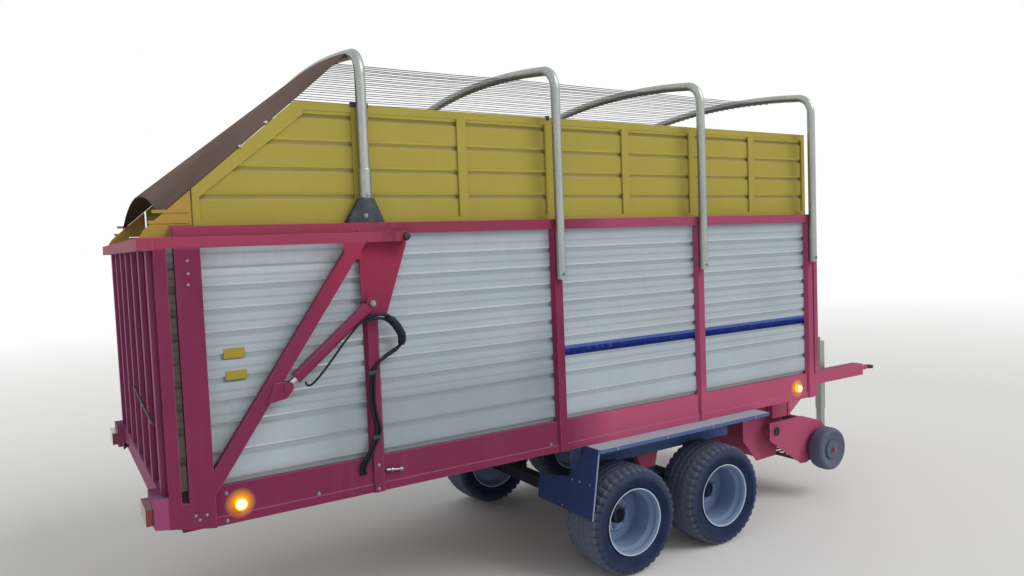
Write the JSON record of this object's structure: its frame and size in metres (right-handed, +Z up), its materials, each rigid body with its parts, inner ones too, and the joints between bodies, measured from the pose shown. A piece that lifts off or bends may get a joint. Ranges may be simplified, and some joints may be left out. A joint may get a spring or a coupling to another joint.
{
  "type": "self-loading hay wagon",
  "caption": "Tandem-axle self-loading hay wagon with ribbed side walls, roof bows, a rear cover, a lifting tailgate, a feed rotor and a tined pickup, parked on its jack.",
  "frame": {"origin": "centre of the outline on the ground, under the middle of the wagon", "axes": "+X forward to the drawbar's eye, +Y to the wagon's left, +Z up"},
  "size_m": [7.45, 2.3, 3.519],
  "materials": {
    "red_paint": "satin, dusty",
    "white_paint": "satin, dusty",
    "yellow_paint": "satin, dusty",
    "dark_paint": "matte, dusty",
    "floor_boards": "rough",
    "worn_steel": "worn",
    "galvanised_steel": "dull zinc",
    "chrome_rod": "bright",
    "cast_eye": "bare",
    "dusty_sheet": "matte, dusty",
    "black_rubber": "matte",
    "tyre_rubber": "dusty",
    "silver_rim": "satin",
    "amber_lens": "clear",
    "red_lens": "clear",
    "cord_fibre": "weathered"
  },
  "bodies": {
    "wagon": {"chassis_frame": "red_paint", "sills": "red_paint", "wall_posts": "red_paint", "top_rails": "red_paint", "hinge_gussets": "red_paint", "front_wall": "red_paint", "drawbar": "red_paint", "rotor_housing": "red_paint", "wall_panels": "white_paint", "side_extensions": "yellow_paint", "front_grille": "yellow_paint", "drive_guard": "yellow_paint", "bogie_springs": "dark_paint", "axles": "dark_paint", "drive_gearbox": "dark_paint", "fenders": "dark_paint", "roof_cords": "cord_fibre", "bed_floor": "floor_boards", "scraper_floor": "worn_steel", "roof_bows": "galvanised_steel", "jack_sleeve": "galvanised_steel", "hitch_eye": "cast_eye", "rear_cover": "dusty_sheet", "bow_boots": "black_rubber", "mud_flaps": "black_rubber", "side_markers": "amber_lens"},
    "tailgate": {"gate_sides": "red_paint", "gate_wall": "red_paint", "gate_wings": "yellow_paint", "tail_lamps": "red_lens"},
    "barrel_right": {"cylinder_barrel_right": "red_paint"},
    "rod_right": {"cylinder_rod_right": "chrome_rod"},
    "barrel_left": {"cylinder_barrel_left": "red_paint"},
    "rod_left": {"cylinder_rod_left": "chrome_rod"},
    "wheel_rear_right": {"tyre_rear_right": "tyre_rubber", "rim_rear_right": "silver_rim"},
    "wheel_rear_left": {"tyre_rear_left": "tyre_rubber", "rim_rear_left": "silver_rim"},
    "wheel_front_right": {"tyre_front_right": "tyre_rubber", "rim_front_right": "silver_rim"},
    "wheel_front_left": {"tyre_front_left": "tyre_rubber", "rim_front_left": "silver_rim"},
    "jack_foot": {"jack_leg": "galvanised_steel"},
    "pickup": {"pickup_frame": "red_paint", "pickup_bands": "worn_steel"},
    "reel": {"pickup_reel": "worn_steel"},
    "gauge_right": {"gauge_wheel_right": "tyre_rubber"},
    "gauge_left": {"gauge_wheel_left": "tyre_rubber"},
    "rotor": {"feed_rotor": "dark_paint"}
  },
  "joints": [
    {"name": "tailgate_lift", "type": "hinge", "parent": "wagon", "child": "tailgate", "pos_m": [-2.323, 0, 2.38], "axis": [0, 1, 0], "range_deg": [0, 70]},
    {"name": "barrel_right_swing", "type": "hinge", "parent": "wagon", "child": "barrel_right", "pos_m": [-2.542, -1.064, 2.017], "axis": [0, 1, 0], "range_deg": [0, 85.5]},
    {"name": "rod_right_slide", "type": "slide", "parent": "barrel_right", "child": "rod_right", "axis": [-0.7687, 0, -0.6396], "range_m": [0, 0.433]},
    {"name": "barrel_left_swing", "type": "hinge", "parent": "wagon", "child": "barrel_left", "pos_m": [-2.542, 1.064, 2.017], "axis": [0, 1, 0], "range_deg": [0, 85.5]},
    {"name": "rod_left_slide", "type": "slide", "parent": "barrel_left", "child": "rod_left", "axis": [-0.7687, 0, -0.6396], "range_m": [0, 0.433]},
    {"name": "wheel_rear_right_spin", "type": "hinge", "parent": "wagon", "child": "wheel_rear_right", "pos_m": [-0.721, -0.945, 0.374], "axis": [0, 1, 0], "continuous": true},
    {"name": "wheel_rear_left_spin", "type": "hinge", "parent": "wagon", "child": "wheel_rear_left", "pos_m": [-0.721, 0.945, 0.374], "axis": [0, 1, 0], "continuous": true},
    {"name": "wheel_front_right_spin", "type": "hinge", "parent": "wagon", "child": "wheel_front_right", "pos_m": [0.159, -0.945, 0.374], "axis": [0, 1, 0], "continuous": true},
    {"name": "wheel_front_left_spin", "type": "hinge", "parent": "wagon", "child": "wheel_front_left", "pos_m": [0.159, 0.945, 0.374], "axis": [0, 1, 0], "continuous": true},
    {"name": "jack_slide", "type": "slide", "parent": "wagon", "child": "jack_foot", "axis": [0, 0, 1], "range_m": [0, 0.3]},
    {"name": "pickup_lift", "type": "hinge", "parent": "wagon", "child": "pickup", "pos_m": [1.13, 0, 0.64], "axis": [0, 1, 0], "range_deg": [0, 22]},
    {"name": "reel_spin", "type": "hinge", "parent": "pickup", "child": "reel", "pos_m": [1.67, 0, 0.47], "axis": [0, 1, 0], "continuous": true},
    {"name": "gauge_right_spin", "type": "hinge", "parent": "pickup", "child": "gauge_right", "pos_m": [1.687, -0.884, 0.417], "axis": [0, 1, 0], "continuous": true},
    {"name": "gauge_left_spin", "type": "hinge", "parent": "pickup", "child": "gauge_left", "pos_m": [1.687, 0.884, 0.417], "axis": [0, 1, 0], "continuous": true},
    {"name": "rotor_spin", "type": "hinge", "parent": "wagon", "child": "rotor", "pos_m": [1.13, 0, 0.64], "axis": [0, 1, 0], "continuous": true}
  ],
  "couplings": [
    {"joint": "barrel_right_swing", "follows": "tailgate_lift", "ratio": 1.2211},
    {"joint": "rod_right_slide", "follows": "tailgate_lift", "m_per_rad": 0.3543},
    {"joint": "barrel_left_swing", "follows": "tailgate_lift", "ratio": 1.2211},
    {"joint": "rod_left_slide", "follows": "tailgate_lift", "m_per_rad": 0.3543}
  ]
}
